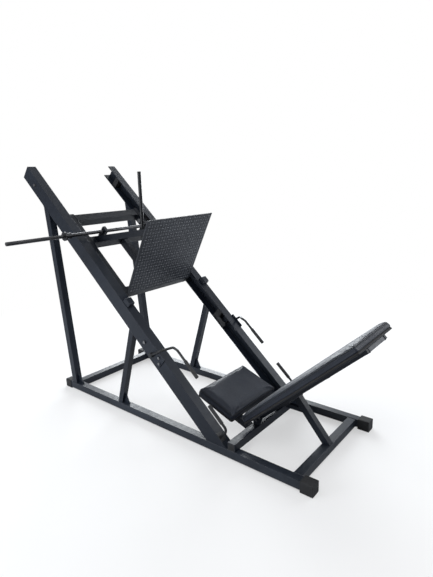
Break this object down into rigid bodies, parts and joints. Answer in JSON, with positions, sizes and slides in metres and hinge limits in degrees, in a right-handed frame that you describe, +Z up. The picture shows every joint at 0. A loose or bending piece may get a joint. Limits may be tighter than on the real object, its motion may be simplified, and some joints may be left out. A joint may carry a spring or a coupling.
{
  "type": "leg press machine",
  "caption": "Inclined leg press: a carriage with a tread foot plate and a cross bar for weight discs runs on rollers in sloping channel rails, above a low seat and a reclined backrest",
  "frame": {"origin": "On the floor, under the centre of the machine's bounding box at rest", "axes": "+Z up; +Y along the machine towards the raised rear end of the guide rails, away from the backrest; +X to the right-hand side of a person on the seat"},
  "size_m": [1.83, 2.5536, 1.6832],
  "materials": {
    "frame_paint": "satin blue-black enamel",
    "base_paint": "satin blue-grey enamel, worn",
    "carriage_paint": "satin black enamel",
    "tread_plate": "dark tread plate with worn, brighter edges",
    "bar_steel": "bare steel, dulled",
    "rod_steel": "dark painted rod, rubbed bright on the bends",
    "zinc_steel": "dull zinc-plated",
    "rubber": "matt black rubber",
    "roller_plastic": "dark cast plastic wheel",
    "cap_plastic": "matt black tube plug",
    "vinyl": "charcoal upholstery vinyl with stitched seams",
    "board": "dark painted plywood"
  },
  "bodies": {
    "frame": {"base_rail_left": "base_paint", "base_rail_right": "base_paint", "front_cross_tube": "base_paint", "rear_cross_tube": "base_paint", "seat_cross_tube": "frame_paint", "frame_end_caps": "cap_plastic", "front_shoes": "rubber", "rear_shoes": "rubber", "rear_upright_left": "frame_paint", "rear_upright_right": "frame_paint", "brace_left": "frame_paint", "brace_right": "frame_paint", "frame_gussets": "frame_paint", "guide_rail_left": "frame_paint", "guide_rail_right": "frame_paint", "rail_stops": "rubber", "stop_bolts": "zinc_steel", "rail_catches": "frame_paint", "lever_plates": "frame_paint", "lever_plate_bolts": "zinc_steel", "hand_grip_left": "rod_steel", "hand_grip_right": "rod_steel", "grip_sleeves": "rubber", "seat_arms": "frame_paint", "seat_board": "board", "seat_pad": "vinyl", "back_brackets": "frame_paint", "back_bolts": "zinc_steel", "back_frame_rails": "frame_paint", "back_crossbars": "frame_paint", "back_board": "board", "backrest_pad": "vinyl", "back_support_post": "frame_paint", "post_strut": "frame_paint"},
    "carriage": {"sled_side_left": "carriage_paint", "sled_side_right": "carriage_paint", "sled_upper_cross": "carriage_paint", "sled_middle_cross": "carriage_paint", "sled_lower_cross": "carriage_paint", "sled_centre_tube": "carriage_paint", "sled_end_caps": "cap_plastic", "foot_plate": "tread_plate", "foot_plate_ribs": "carriage_paint", "plate_strut_left": "carriage_paint", "plate_strut_right": "carriage_paint", "weight_bar": "bar_steel", "bar_clamps": "carriage_paint", "bar_collars": "bar_steel", "centre_post": "bar_steel", "post_socket": "carriage_paint", "roller_axles": "zinc_steel", "axle_spacers": "zinc_steel"},
    "roller_left_lower": {"roller_left_lower": "roller_plastic"},
    "roller_left_upper": {"roller_left_upper": "roller_plastic"},
    "roller_right_lower": {"roller_right_lower": "roller_plastic"},
    "roller_right_upper": {"roller_right_upper": "roller_plastic"},
    "lever_left": {"safety_lever_left": "rod_steel", "lever_sleeve_left": "rubber"},
    "lever_right": {"safety_lever_right": "rod_steel", "lever_sleeve_right": "rubber"}
  },
  "joints": [
    {"name": "carriage_slide", "type": "slide", "parent": "frame", "child": "carriage", "axis": [0, 0.742, 0.6704], "range_m": [-0.385, 0.38]},
    {"name": "roller_left_lower_spin", "type": "hinge", "parent": "carriage", "child": "roller_left_lower", "pos_m": [-0.365, 0.39376, 0.87843], "axis": [1, 0, 0], "range_deg": [-515, 520]},
    {"name": "roller_left_upper_spin", "type": "hinge", "parent": "carriage", "child": "roller_left_upper", "pos_m": [-0.365, 0.80185, 1.24716], "axis": [1, 0, 0], "range_deg": [-515, 520]},
    {"name": "roller_right_lower_spin", "type": "hinge", "parent": "carriage", "child": "roller_right_lower", "pos_m": [0.365, 0.39376, 0.87843], "axis": [1, 0, 0], "range_deg": [-515, 520]},
    {"name": "roller_right_upper_spin", "type": "hinge", "parent": "carriage", "child": "roller_right_upper", "pos_m": [0.365, 0.80185, 1.24716], "axis": [1, 0, 0], "range_deg": [-515, 520]},
    {"name": "lever_left_turn", "type": "hinge", "parent": "frame", "child": "lever_left", "pos_m": [-0.4, -0.01433, 0.50969], "axis": [-1, 0, 0], "range_deg": [0, 60]},
    {"name": "lever_right_turn", "type": "hinge", "parent": "frame", "child": "lever_right", "pos_m": [0.4, -0.01433, 0.50969], "axis": [-1, 0, 0], "range_deg": [0, 60]}
  ],
  "couplings": [
    {"joint": "roller_left_lower_spin", "follows": "carriage_slide", "rad_per_m": -23.256},
    {"joint": "roller_left_upper_spin", "follows": "carriage_slide", "rad_per_m": -23.256},
    {"joint": "roller_right_lower_spin", "follows": "carriage_slide", "rad_per_m": -23.256},
    {"joint": "roller_right_upper_spin", "follows": "carriage_slide", "rad_per_m": -23.256}
  ]
}
